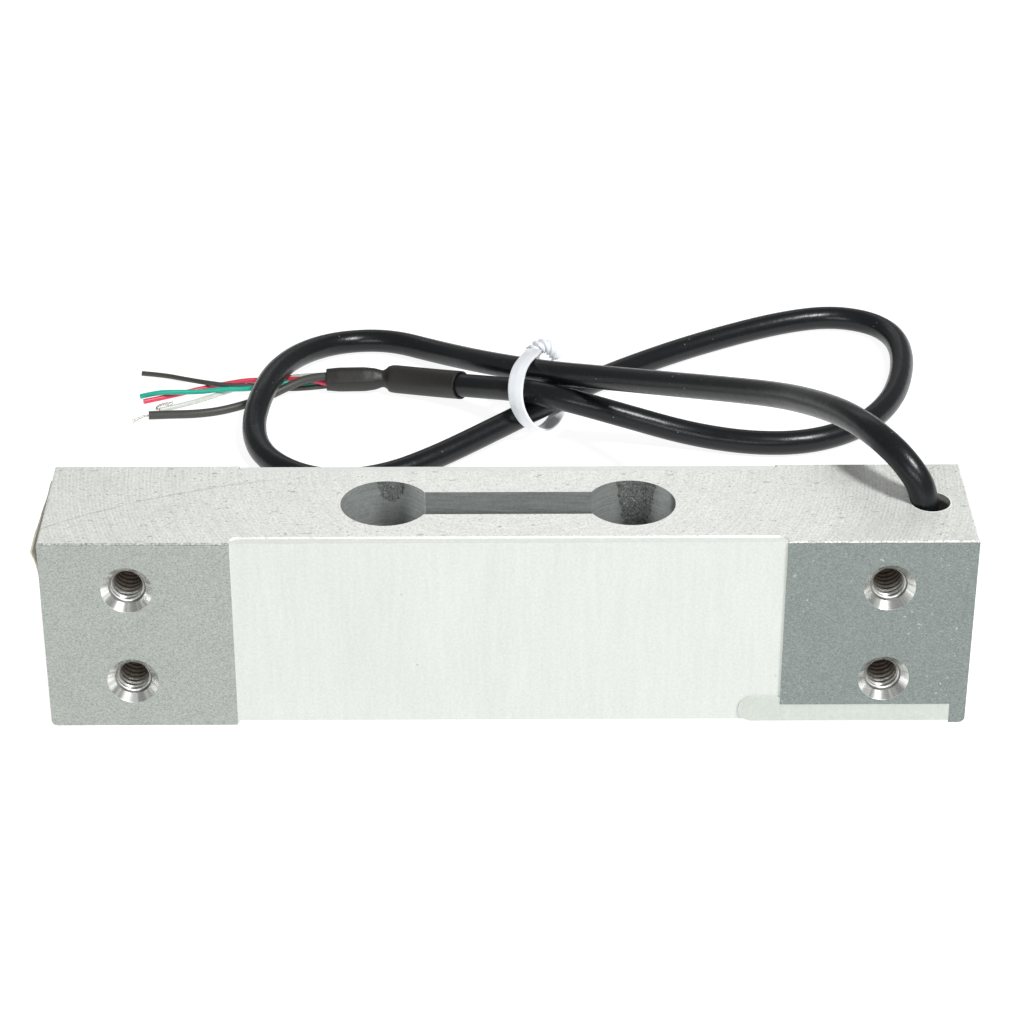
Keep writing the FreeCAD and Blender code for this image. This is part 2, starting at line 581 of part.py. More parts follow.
def make_tie():
    """A flat coated-wire strip bent round the three strands, with its ends twisted together."""
    spine, _ = rounded_wire(TIE_ROUTE)
    across = Vector(TIE_ACROSS).normalize()
    ahead = (Vector(*TIE_ROUTE[1]) - Vector(*TIE_ROUTE[0])).normalize()
    side = (across - ahead * across.dot(ahead)).normalize() * (size("tie_width") / 2)
    thick = ahead.cross(side).normalize() * (size("tie_thickness") / 2)
    start = Vector(*TIE_ROUTE[0])
    corners = [start + side + thick, start - side + thick, start - side - thick, start + side - thick]
    profile = Part.makePolygon(corners + corners[:1])
    maker = Part.BRepOffsetAPI.MakePipeShell(spine)
    maker.setBiNormalMode(across)
    maker.add(profile)
    maker.build()
    maker.makeSolid()
    strip = maker.shape()
    twist = tube("twist_tie twist", TWIST_ROUTE, size("twist_diameter"))
    whole = strip.fuse(twist).removeSplitter()
    return solid_feature("twist_tie", whole.Solids[0] if len(whole.Solids) == 1 else whole)


# ---------------------------------------------------------------- build

nodes = [make_beam()]
cable = make_cable()
wires = {"front": [("bridge_wire_red", 1), ("bridge_wire_green", 0)],
         "back": [("bridge_wire_black", 1), ("bridge_wire_white", 0)]}
sealant_fills, all_wires = [], []
for side, turned in SIDES.items():
    left, right = "-size.bore_spacing / 2", "size.bore_spacing / 2"
    bonded = [make_gauge(f"gauge_{side}_left", left, turned),
              make_gauge(f"gauge_{side}_right", right, turned),
              make_terminal(f"terminal_{side}", turned), make_leads(f"leads_{side}", turned),
              make_resistor("zero_trim_resistor" if side == "front" else "span_resistor", turned)]
    side_wires = [make_bridge_wire(label, turned, level) for label, level in wires[side]]
    sealant, fill = make_sealant(side, turned, bonded + side_wires)
    sealant_fills.append(fill)
    all_wires += side_wires
    nodes += bonded + side_wires + [sealant]
nodes += [make_potting(sealant_fills, all_wires + [cable]), make_end_label(), cable, make_heat_shrink(cable)]
for label, route in WIRE_ROUTES.items():
    diameter = size("shield_diameter" if label == "shield_sleeve" else "wire_diameter")
    nodes.append(solid_feature(label, tube(label, route, diameter)))
for label, route in STRAND_ROUTES.items():
    nodes.append(solid_feature(label, tube(label, route, size("strand_diameter"))))
nodes.append(make_tie())

doc.recompute()
for obj in doc.Objects:
    if {"Invalid", "Error"} & set(obj.State):
        raise RuntimeError(f"{obj.Name} failed: {obj.State}")
for node in nodes:
    if node.Shape.isNull() or not node.Shape.isValid() or not node.Shape.Solids:
        raise RuntimeError(f"{node.Label} has no valid solid")
os.makedirs("parts", exist_ok=True)
for node in nodes:
    node.Shape.exportStep(os.path.join("parts", node.Label + ".step"))
print(len(nodes), "nodes written")
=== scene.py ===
"""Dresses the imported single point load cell: finishes, cable, tail wires, sleeve, tie, threads and end film.

Everything is in metres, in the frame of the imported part: X runs along the beam, Y across its gauge faces and
Z up.
"""
import math

import bpy
import numpy as np
from mathutils import Matrix, Vector


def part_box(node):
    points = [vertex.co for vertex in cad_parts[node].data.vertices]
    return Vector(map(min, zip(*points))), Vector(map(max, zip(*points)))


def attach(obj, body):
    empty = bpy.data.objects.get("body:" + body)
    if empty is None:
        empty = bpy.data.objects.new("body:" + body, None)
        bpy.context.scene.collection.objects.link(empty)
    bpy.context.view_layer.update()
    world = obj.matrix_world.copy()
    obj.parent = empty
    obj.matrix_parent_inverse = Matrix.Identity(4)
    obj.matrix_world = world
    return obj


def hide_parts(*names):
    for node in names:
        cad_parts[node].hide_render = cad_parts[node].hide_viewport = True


bl_info = {
    "name": "Single Point Load Cell",
    "version": (1, 0, 0),
    "blender": (4, 5, 0),
    "location": "View3D > Sidebar > Load Cell",
    "description": "Builds the cable, tie, threads, film and finishes of a single point load cell",
    "category": "Object",
}

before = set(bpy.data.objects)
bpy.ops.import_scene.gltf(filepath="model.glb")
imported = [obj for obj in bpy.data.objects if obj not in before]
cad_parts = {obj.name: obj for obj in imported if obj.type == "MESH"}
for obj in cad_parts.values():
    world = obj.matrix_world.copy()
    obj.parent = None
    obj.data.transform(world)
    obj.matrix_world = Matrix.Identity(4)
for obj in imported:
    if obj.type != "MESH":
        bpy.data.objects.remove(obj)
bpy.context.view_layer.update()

MM = 0.001
BEAM_LOW, BEAM_HIGH = (np.array(corner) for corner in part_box("beam"))
HALF_LENGTH, HALF_DEPTH, HEIGHT = BEAM_HIGH
# The tapped holes, which run along Y: their places, and the radius of their walls and of their countersinks.
HOLE_X, HOLE_Z, HOLE_RISE = HALF_LENGTH - 12 * MM, HEIGHT / 2, 7.5 * MM
HOLE_RADIUS, CONE_MOUTH = 2.5 * MM, 3.65 * MM
# The two bores of the flexure cut-out, and the cable's hole in the top face.
BORE_X, BORE_RADIUS = 17.3 * MM, 6.3 * MM
CABLE_HOLE_X, CABLE_HOLE_RADIUS = HALF_LENGTH - 5.5 * MM, 2.9 * MM

# ---------------------------------------------------------------- routes, in metres

CABLE_ROUTE = [
    (0.059, 0, 0.0255), (0.059, 0, 0.031), (0.0559, 0.0022, 0.0354), (0.0522, 0.0078, 0.0368),
    (0.0492, 0.0154, 0.0356), (0.0458, 0.025, 0.0324), (0.0416, 0.036, 0.028), (0.0345, 0.0474, 0.023),
    (0.026, 0.059, 0.0179), (0.0165, 0.0701, 0.0132), (0.007, 0.0794, 0.0094), (-0.003, 0.0899, 0.0058),
    (-0.0118, 0.1006, 0.0025), (-0.02, 0.1062, 0.002), (-0.0287, 0.1054, 0.0021), (-0.035, 0.0992, 0.0032),
    (-0.039, 0.0906, 0.0042), (-0.041, 0.0818, 0.0041), (-0.042, 0.0732, 0.0027), (-0.0402, 0.0652, 0.002),
    (-0.035, 0.0586, 0.002), (-0.0278, 0.0554, 0.002), (-0.0194, 0.0574, 0.002), (-0.0114, 0.0634, 0.0021),
    (-0.0026, 0.0709, 0.0028), (0.006, 0.0787, 0.0034), (0.016, 0.09, 0.0026), (0.0292, 0.1012, 0.002),
    (0.042, 0.109, 0.002), (0.0512, 0.1133, 0.002), (0.0586, 0.1149, 0.002), (0.0649, 0.1128, 0.002),
    (0.0685, 0.1082, 0.002), (0.0695, 0.1012, 0.002), (0.0683, 0.0918, 0.002), (0.0652, 0.082, 0.002),
    (0.0594, 0.0736, 0.002), (0.0506, 0.0684, 0.002), (0.041, 0.068, 0.002), (0.031, 0.0708, 0.0022),
    (0.0208, 0.072, 0.0048), (0.0122, 0.0716, 0.0078), (0.004, 0.0754, 0.0081), (-0.0042, 0.0833, 0.0047),
    (-0.0124, 0.0888, 0.0026), (-0.0196, 0.0907, 0.00245)]
SLEEVE_END = (-0.0304, 0.0909, 0.0022)
WIRE_ROUTES = {
    "wire_red": [
        (-0.0204, 0.0901, 0.00243), (-0.0222, 0.09013, 0.00238), (-0.0248, 0.08991, 0.00172),
        (-0.0298, 0.08998, 0.00166), (-0.0326, 0.0912, 0.0018), (-0.0354, 0.0924, 0.00157),
        (-0.0392, 0.0929, 0.001), (-0.0436, 0.0922, 0.0015), (-0.0476, 0.0917, 0.00105),
        (-0.052, 0.0909, 0.0005), (-0.0568, 0.0884, 0.00045), (-0.0614, 0.0863, 0.00045)],
    "wire_green": [
        (-0.0204, 0.09133, 0.00243), (-0.0222, 0.09137, 0.00234), (-0.0248, 0.09154, 0.00152),
        (-0.0298, 0.09155, 0.00136), (-0.0328, 0.0919, 0.00072), (-0.0352, 0.092, 0.00055),
        (-0.0374, 0.09135, 0.0014), (-0.04, 0.0902, 0.0016), (-0.0436, 0.0892, 0.00125),
        (-0.048, 0.0888, 0.0015), (-0.052, 0.0884, 0.00115), (-0.0556, 0.0879, 0.0014),
        (-0.059, 0.0875, 0.0016), (-0.0621, 0.0879, 0.0006)],
    "wire_black": [
        (-0.0204, 0.09071, 0.00181), (-0.0222, 0.09075, 0.00176), (-0.0248, 0.09067, 0.00122),
        (-0.0298, 0.09076, 0.00106), (-0.0328, 0.09095, 0.0006), (-0.0362, 0.09075, 0.00045),
        (-0.0396, 0.091, 0.00045), (-0.0432, 0.0904, 0.0013), (-0.0472, 0.09, 0.0015),
        (-0.0512, 0.0908, 0.0017), (-0.055, 0.0937, 0.00085), (-0.0588, 0.096, 0.00045),
        (-0.0627, 0.0967, 0.00045)],
    "wire_white": [
        (-0.0204, 0.09071, 0.00305), (-0.0222, 0.09072, 0.00306), (-0.0248, 0.09184, 0.0027),
        (-0.0298, 0.09188, 0.0026), (-0.034, 0.0932, 0.0018), (-0.0382, 0.0944, 0.0006),
        (-0.0426, 0.0931, 0.00045), (-0.047, 0.0903, 0.00045), (-0.0512, 0.0871, 0.00045),
        (-0.0548, 0.0849, 0.00045), (-0.0584, 0.0832, 0.00045)],
    "shield_sleeve": [
        (-0.0262, 0.09066, 0.00308), (-0.0282, 0.0907, 0.00302), (-0.031, 0.0906, 0.00294),
        (-0.0342, 0.0902, 0.0026), (-0.0374, 0.0888, 0.0017), (-0.0406, 0.0867, 0.00095),
        (-0.0442, 0.0844, 0.00074), (-0.0482, 0.0822, 0.00074), (-0.0524, 0.0812, 0.00074),
        (-0.0564, 0.0811, 0.00074), (-0.06, 0.0808, 0.00074)]}
# Bare strands at the tips: the middle line of each bundle, which its few hairs twist round.
DRAIN_ROUTE = [(-0.0598, 0.0808, 0.00074), (-0.0612, 0.0807, 0.00074), (-0.0626, 0.0794, 0.0003)]
CURL_ROUTE = [(-0.0582, 0.0833, 0.00045), (-0.059, 0.0833, 0.0005), (-0.059, 0.0838, 0.0008),
              (-0.0578, 0.0842, 0.0011), (-0.0562, 0.0844, 0.0011)]
TIE_ROUTE = [
    (0.005, 0.0872, 0.0096), (0.0048, 0.0843, 0.0108), (0.0025, 0.0785, 0.0111), (0.0017, 0.0726, 0.0106),
    (0.0018, 0.0708, 0.0084), (0.0026, 0.0707, 0.006), (0.0041, 0.0717, 0.0032), (0.0064, 0.075, 0.00078),
    (0.0085, 0.0793, 0.00053), (0.0093, 0.0834, 0.0005), (0.0067, 0.0879, 0.00074), (0.0049, 0.0903, 0.0034),
    (0.0046, 0.0898, 0.0064), (0.0049, 0.0886, 0.0088)]
# The direction that the tie's strip keeps across its route, and the one that its twist starts from.
TIE_ACROSS = (0.84, -0.52, 0.14)
TWIST_ACROSS = (0.1, 1.0, 0.2)
TWIST_ROUTE = [(0.0045, 0.0884, 0.0076), (0.0051, 0.0882, 0.0094), (0.0067, 0.0881, 0.0101),
               (0.0083, 0.088, 0.0091), (0.0089, 0.0879, 0.0079)]

# ---------------------------------------------------------------- camera and lights

CAMERA_PLACE = (-0.0027, -0.36671, 0.24119)
CAMERA_ELEVATION, CAMERA_AZIMUTH, CAMERA_ROLL = 30.11, -0.507, 0.067
# Each area light: its place, its width and height in metres, and its power in watts. All face the origin.
LIGHTS = {
    "key_softbox": ((0.42, -0.3, 0.85), (0.18, 0.18), 9.0),
    "front_strip": ((-0.05, -0.78, 0.42), (0.6, 0.09), 1.9),
    "back_strip": ((-0.1, 0.8, 0.48), (0.6, 0.1), 0.28)}
SURROUNDINGS_STRENGTH = 0.28
FLOOR_HALF = 3.0


# ---------------------------------------------------------------- sizes and colours that a user may change

def length(name, description, millimetres):
    """A length property, given in millimetres and kept in metres."""
    return bpy.props.FloatProperty(name=name, description=description, default=millimetres * MM, min=0.0,
                                   unit="LENGTH", precision=5)


def colour(name, description, red, green, blue):
    """A colour property. The default is given as 0 to 255 on a screen and kept as linear light."""
    linear = tuple((level / 255) ** 2.2 for level in (red, green, blue))
    return bpy.props.FloatVectorProperty(name=name, description=description, default=linear, size=3, min=0.0,
                                         max=1.0, subtype="COLOR")


class LoadCellSizes(bpy.types.PropertyGroup):
    """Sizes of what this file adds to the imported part."""
    cable_diameter: length("Cable diameter", "Outside of the cable's jacket", 4.0)
    wire_diameter: length("Wire diameter", "Outside of a tail wire's insulation", 0.84)
    shield_diameter: length("Shield sleeve diameter", "Outside of the sleeve on the shield's drain", 1.44)
    hair_diameter: length("Hair diameter", "One bare hair of a stranded conductor", 0.11)
    sleeve_radius: length("Sleeve radius", "Heat-shrink sleeve where it grips the jacket", 2.4)
    sleeve_neck: length("Sleeve neck radius", "Heat-shrink sleeve just past the jacket's end", 1.43)
    sleeve_bulge: length("Sleeve bulge radius", "Heat-shrink sleeve over the bundle of wires", 2.06)
    sleeve_wall: length("Sleeve wall", "Thickness of the heat-shrink sleeve", 0.32)
    sleeve_grip: length("Sleeve grip", "Length of jacket under the sleeve", 13.6)
    tie_width: length("Tie width", "Width of the twist tie's strip", 2.7)
    tie_wing: length("Tie wing", "Thickness of the strip's two wings", 0.62)
    tie_core: length("Tie core", "Thickness of the strip over its core wire", 0.72)
    thread_pitch: length("Thread pitch", "Pitch of the tapped holes", 1.0)
    thread_depth: length("Thread depth", "Height of the thread's crests above the hole's wall", 0.34)
    film_thickness: length("Film thickness", "Thickness of the film on the end face", 0.15)
    lens: bpy.props.FloatProperty(name="Lens", description="Focal length of the camera in millimetres",
                                  default=105.74, min=1.0)


class LoadCellColours(bpy.types.PropertyGroup):
    """Colours of the load cell's surfaces."""
    aluminium: colour("Aluminium", "Milled top, bottom and end faces", 242, 244, 239)
    pad: colour("Left pad", "Mounting pads away from the cable", 164, 169, 164)
    # Painted shade: the left pads' finish in a deeper tone, for the lesser light on the pads by the cable.
    pad_in_painted_shade: colour("Right pad", "Mounting pads by the cable", 127, 135, 132)
    bore: colour("Bore", "Walls of the flexure cut-out", 156, 160, 158)
    # Painted shade: a brown-grey for the aluminium in shade deep in the tapped holes.
    thread: colour("Thread", "Walls of the tapped holes", 158, 148, 136)
    sealant: colour("Sealant", "White sealant over the gauges", 222, 227, 222)
    potting: colour("Potting", "Cream potting in the wire channel", 206, 213, 204)
    film: colour("End film", "Blank film on the end face", 238, 234, 214)
    jacket: colour("Jacket", "Cable jacket", 26, 28, 30)
    shrink: colour("Heat shrink", "Heat-shrink sleeve", 38, 37, 35)
    red: colour("Red wire", "Insulation of the red wire", 214, 60, 88)
    green: colour("Green wire", "Insulation of the green wire", 34, 172, 148)
    black: colour("Black wire", "Insulation of the black wire", 66, 66, 63)
    white: colour("White wire", "Insulation of the white wire", 206, 212, 204)
    tin: colour("Tinned copper", "Bare strands", 200, 196, 186)
    tie: colour("Tie", "Coating of the twist tie", 232, 236, 240)
    floor: colour("Floor", "Ground that the load cell lies on", 250, 250, 250)


def sizes():
    """The sizes in use."""
    return bpy.context.scene.load_cell_sizes


def colours():
    """The colours in use."""
    return bpy.context.scene.load_cell_colours


# ---------------------------------------------------------------- shaders

class Value:
    """One output of a shader node, so that shader maths reads as Python. Each operation adds a Math node."""

    def __init__(self, shader, output):
        self.shader, self.output = shader, output

    def maths(self, operation, *operands):
        return self.shader.node("ShaderNodeMath", {"operation": operation}, dict(enumerate(operands)))

    def __add__(self, other):
        return self.maths("ADD", self, other)

    def __radd__(self, other):
        return self.maths("ADD", other, self)

    def __sub__(self, other):
        return self.maths("SUBTRACT", self, other)

    def __rsub__(self, other):
        return self.maths("SUBTRACT", other, self)

    def __mul__(self, other):
        return self.maths("MULTIPLY", self, other)

    def __rmul__(self, other):
        return self.maths("MULTIPLY", other, self)

    def __truediv__(self, other):
        return self.maths("DIVIDE", self, other)

    def __rtruediv__(self, other):
        return self.maths("DIVIDE", other, self)

    def __abs__(self):
        return self.maths("ABSOLUTE", self)

    def root(self):
        return self.maths("SQRT", self)

    def sine(self):
        return self.maths("SINE", self)

    def choose(self, above, below):
        """The first where this value is above 0, and the second elsewhere."""
        side = self.maths("GREATER_THAN", self, 0.0)
        return side * above + (1 - side) * below

    def rise(self, low, high):
        """0 up to low, 1 from high on, and a smooth step between them. It falls where high is the lower."""
        if low > high:
            return 1 - self.rise(high, low)
        inputs = {"Value": self, "From Min": low, "From Max": high}
        return self.shader.node("ShaderNodeMapRange", {"interpolation_type": "SMOOTHSTEP"}, inputs)


class Shader:
    """A material with its Principled BSDF, and short ways to add the nodes that feed it."""

    def __init__(self, name, **constants):
        self.material = bpy.data.materials.new(name)
        self.material.use_nodes = True
        self.tree = self.material.node_tree
        self.principled = next(n for n in self.tree.nodes if n.type == "BSDF_PRINCIPLED")
        self.set(**constants)

    def feed(self, socket, value):
        """Links a value to a socket, or sets the socket to a number or a colour."""
        if isinstance(value, Value):
            self.tree.links.new(value.output, socket)
            return
        if socket.type == "RGBA":
            value = (*tuple(value)[:3], 1.0)
        socket.default_value = value

    def node(self, kind, settings=None, inputs=None, output=0):
        """Any node: its type, its settings, which are set first, and the values or links of its sockets."""
        node = self.tree.nodes.new(kind)
        for key, value in (settings or {}).items():
            setattr(node, key, value)
        for key, value in (inputs or {}).items():
            self.feed(node.inputs[key], value)
        return Value(self, node.outputs[output])

    def position(self):
        """Object coordinates, as one vector."""
        return self.node("ShaderNodeTexCoord", output="Object")

    def split(self, vector):
        """The three parts of a vector."""
        parts = self.node("ShaderNodeSeparateXYZ", inputs={0: vector})
        return [Value(self, output) for output in parts.output.node.outputs]

    def join(self, x, y, z):
        """A vector from three parts."""
        return self.node("ShaderNodeCombineXYZ", inputs={0: x, 1: y, 2: z})

    def noise(self, vector, size, detail=2.0, roughness=0.5):
        """Noise from 0 to 1 whose blobs are about size across, in metres."""
        inputs = {"Vector": vector, "Scale": 1 / size, "Detail": detail, "Roughness": roughness}
        return self.node("ShaderNodeTexNoise", {}, inputs)

    def cells(self, vector, size):
        """Distance from the middle of the nearest of scattered cells, in cells."""
        return self.node("ShaderNodeTexVoronoi", {}, {"Vector": vector, "Scale": 1 / size})

    def mix(self, factor, first, second):
        """A colour between first, at factor 0, and second, at 1."""
        return self.node("ShaderNodeMix", {"data_type": "RGBA"}, {0: factor, 6: first, 7: second}, output=2)

    def shade(self, tone, factor):
        """A colour made darker or lighter by a factor that varies over the surface."""
        return self.node("ShaderNodeMix", {"data_type": "RGBA", "blend_type": "MULTIPLY"},
                         {0: 1.0, 6: tone, 7: self.join(factor, factor, factor)}, output=2)

    def bump(self, height, distance, strength):
        """Feeds a height, whose 1 stands for a distance in metres, to the normal."""
        inputs = {"Height": height, "Distance": distance, "Strength": strength}
        self.feed(self.principled.inputs["Normal"], self.node("ShaderNodeBump", {}, inputs))

    def set(self, **values):
        """Feeds the named sockets of the Principled BSDF, and gives the material."""
        for key, value in values.items():
            name = key.replace("_", " ").title().replace("Ior", "IOR")
            self.feed(self.principled.inputs[name], value)
        return self.material


def away(first, second):
    """The root of the sum of two squares: the distance from where both values are 0."""
    return (first * first + second * second).root()


def milled_faces(look, place, grain, broad):
    """Top, bottom and ends: rings left by the face mill, with pits, nicks, one long scratch and painted shade
    towards both ends.

    Gives their tone and their height.
    """
    x, y, z = look.split(place)
    mill_y, groove = 11 * MM, 0.52 * MM
    ring = away(x, y - mill_y)
    swirl = ((ring + broad * 0.35 * MM) * (2 * math.pi / groove)).sine() * 0.5 + 0.5
    swirl = swirl * (abs(x).rise(20 * MM, 48 * MM) * look.noise(place, 8 * MM).rise(0.35, 0.6))
    streaks = look.noise(look.join(ring, y * 0.03, z), 0.5 * MM, 3.0, 0.6)
    pits = look.noise(place, 0.5 * MM, 3.0, 0.6).rise(0.61, 0.70)
    pits = pits * look.noise(place, 5 * MM, 2.0).rise(0.42, 0.56)
    slanted = look.join(x * 0.6 + y * 0.5, y * 1.4 - x * 0.3, z)
    nicks = look.noise(slanted, 0.9 * MM, 3.0).rise(0.66, 0.70)

    arc_x, arc_y, arc_radius = -15.5 * MM, -78.2 * MM, 86.9 * MM
    wander = (look.noise(place, 4 * MM) - 0.5) * 0.5 * MM
    scratch = abs(away(x - arc_x, y - arc_y) - arc_radius + wander).rise(0.3 * MM, 0.04 * MM)
    scratch = scratch * look.noise(place, 2.4 * MM).rise(0.3, 0.5) * x.rise(-26 * MM, -42 * MM)

    # Painted shade: the tone falls off towards both ends of the beam, as the light does.
    ends = abs(x).rise(12 * MM, 62 * MM)
    shade = 0.39 + grain * 0.8 + streaks * 0.26 + broad * 0.12 + swirl * 0.08 - ends * 0.13
    shade = shade * (1 - pits * 0.42) * (1 - nicks * 0.32) * (1 - scratch * 0.22)
    height = grain * 0.8 + streaks * 0.5 + swirl * 0.3 - pits * 1.5 - nicks - scratch
    return look.shade(colours().aluminium, shade), height


def pad_faces(look, place, grain, broad):
    """The pads at both ends of the gauge faces: satin speckle, painted shade on the pads by the cable, with
    bright chips.

    Gives their tone and their height.
    """
    x, y, z = look.split(place)
    fine = look.noise(look.join(x * 0.7, y, z), 0.17 * MM, 1.0, 0.6)
    # Painted shade: the pads' tone deepens from left to right, towards the cable.
    painted_shade_right = x.rise(-20 * MM, 20 * MM)
    worn = (look.noise(place, 6 * MM, 1.0) + x.rise(50 * MM, 64 * MM) * 0.1).rise(0.5, 0.6)
    chips = look.noise(place, 0.7 * MM, 3.0, 0.7).rise(0.65, 0.71) * worn
    tone = look.mix(painted_shade_right, colours().pad, colours().pad_in_painted_shade)
    shade = (0.26 + fine * (1.1 + painted_shade_right * 0.2) + grain * 0.25 + broad * 0.12
             + chips * (0.15 + painted_shade_right * 1.1))
    return look.shade(tone, shade), fine * 0.7 + chips


def cut_out_walls(look, place, grain, inside):
    """The walls of the flexure cut-out: fine lines, a painted highlight on each bore's right flank, painted
    shade low in its middle, and rough filed parts.

    A filed band runs down the right bore, and a filed spot lies high in the left one. Gives the walls' tone,
    where they are filed, and the file's marks.
    """
    x, y, z = look.split(place)
    depth = HEIGHT - z
    at_back = y.rise(1.6 * MM, 3.0 * MM)
    band_x, band_half, spot_x, spot_radius = 18.3 * MM, 2.8 * MM, -16.6 * MM, 2.0 * MM
    ragged = (look.noise(place, 0.9 * MM, 3.0, 0.7) - 0.5) * 1.8 * MM
    band = abs(x - band_x) + depth * 0.15 + ragged - band_half
    spot = away(x - spot_x, depth * 0.62) + ragged * 0.6 - spot_radius
    edge = x.choose(band, spot)
    filed = edge.rise(0.12 * MM, -0.12 * MM) * at_back * inside
    outline = edge.rise(-0.5 * MM, 0) * filed
    file_marks = look.noise(look.join(x, y, z * 0.7), 0.3 * MM, 3.0, 0.8).rise(0.36, 0.66)
    # Painted glints: bright specks on the filed metal.
    sparkle = look.cells(place, 0.5 * MM).rise(0.26, 0.12) * look.noise(place, 1.2 * MM).rise(0.52, 0.6)

    lines = look.noise(look.join(x * 0.04, y * 0.04, z), 0.22 * MM, 3.0, 0.7)
    # Painted light in the bores: a painted highlight on each right flank and painted shade low in the middle.
    from_middle = x - x.choose(BORE_X, -BORE_X)
    painted_lit_flank = from_middle.rise(2.2 * MM, 5.2 * MM)
    painted_bore_shade = abs(from_middle - 0.9 * MM).rise(3.4 * MM, 1.0 * MM) * depth.rise(2.0 * MM, 5.5 * MM)
    in_bore = abs(away(from_middle, y) - BORE_RADIUS).rise(0.09 * MM, 0.05 * MM)
    shade = (0.12 + lines * 1.1 + grain * 0.8) * (1 + in_bore * at_back * (painted_lit_flank * 1.2 - painted_bore_shade * 0.4))
    shade = shade * (1 - filed * (0.65 - file_marks * 0.55) - outline * 0.15) + filed * sparkle * 1.3
    return look.shade(colours().bore, shade), filed, file_marks


def countersinks(look, place, on_pad):
    """The cones at the mouths of the tapped holes: turned rings and painted glints. Gives their place, tone
    and rings.
    """
    x, y, z = look.split(place)
    from_z = abs(z - HOLE_Z) - HOLE_RISE
    out = away(abs(x) - HOLE_X, from_z)
    sunk = out.rise(CONE_MOUTH + 0.07 * MM, CONE_MOUTH + 0.01 * MM) * (1 - on_pad)
    rings = look.noise(look.join(out, y, 0.0), 0.16 * MM, 2.0)
    # Painted reflection: glints that turn with the angle round each hole.
    around = look.join((x - x.choose(HOLE_X, -HOLE_X)) / out, from_z / out, x.choose(2.0, 5.0))
    glint = look.noise(around, 0.42, 2.0).rise(0.42, 0.62)
    return sunk, look.shade(colours().aluminium, 0.45 + glint * 0.5 + rings * 0.35), rings


def cable_hole(look, place):
    """The cable's hole: painted shade inside, under a painted highlight round its edge. Gives how much is
    shaded, and how much brighter the edge is painted.
    """
    x, y, z = look.split(place)
    out = away(x - CABLE_HOLE_X, y)
    inside = out.rise(CABLE_HOLE_RADIUS, CABLE_HOLE_RADIUS - 0.05 * MM)
    # Painted shade deeper inside the cable's hole.
    painted_hole_shade = inside * z.rise(HEIGHT - 0.5 * MM, HEIGHT - 1.3 * MM)
    # The painted highlight round the edge stops just under the top face inside the hole.
    below = inside * z.rise(HEIGHT - 0.02 * MM, HEIGHT - 0.1 * MM)
    painted_edge_light = out.rise(CABLE_HOLE_RADIUS + 0.15 * MM, CABLE_HOLE_RADIUS + 0.05 * MM)
    return painted_hole_shade, (painted_edge_light - below) * 0.3


def aluminium():
    """Milled aluminium. Each face of the beam has its own finish, found from its place."""
    look = Shader("milled_aluminium")
    place = look.position()
    x, y, z = look.split(place)
    across_x, across_y = abs(x), abs(y)
    grain = look.noise(place, 0.32 * MM, 2.0, 0.7)
    broad = look.noise(place, 5 * MM, 3.0)

    on_pad = across_y.rise(HALF_DEPTH - 0.05 * MM, HALF_DEPTH - 0.02 * MM)
    inside = (across_y.rise(BORE_RADIUS + 0.1 * MM, BORE_RADIUS + 0.05 * MM)
              * across_x.rise(BORE_X + BORE_RADIUS + 0.1 * MM, BORE_X + BORE_RADIUS + 0.05 * MM)
              * z.rise(HEIGHT - 0.005 * MM, HEIGHT - 0.03 * MM))
    chamfer = (z.rise(HEIGHT - 0.3 * MM, HEIGHT - 0.25 * MM)
               * across_y.rise(HALF_DEPTH - 0.3 * MM, HALF_DEPTH - 0.25 * MM))
    face_tone, face_height = milled_faces(look, place, grain, broad)
    pad_tone, pad_height = pad_faces(look, place, grain, broad)
    wall_tone, filed, file_marks = cut_out_walls(look, place, grain, inside)
    sunk, cone_tone, rings = countersinks(look, place, on_pad)
    painted_hole_shade, painted_edge_light = cable_hole(look, place)

    tone = look.mix(on_pad, face_tone, pad_tone)
    tone = look.mix(inside, tone, wall_tone)
    tone = look.mix(sunk, tone, cone_tone)
    tone = look.shade(tone, 1 - chamfer * (0.95 - grain))
    # Painted shade inside the cable's hole and a painted highlight round its edge.
    tone = look.shade(tone, (1 - painted_hole_shade * 0.93) * (1 + painted_edge_light))
    height = face_height * ((1 - inside) * (1 - on_pad) * (1 - sunk)) + on_pad * pad_height
    height = height + filed * (file_marks * 3.0 - 1.5) + sunk * rings * 0.5
    look.bump(height, 0.03 * MM, 0.6)
    roughness = 0.42 + on_pad * 0.08 + filed * 0.1 - sunk * 0.2 - inside * 0.04 + grain * 0.06
    metal = 0.4 + on_pad * 0.1 + sunk * 0.5 - inside * 0.1 - painted_hole_shade * 0.3
    return look.set(base_color=tone, roughness=roughness, metallic=metal)


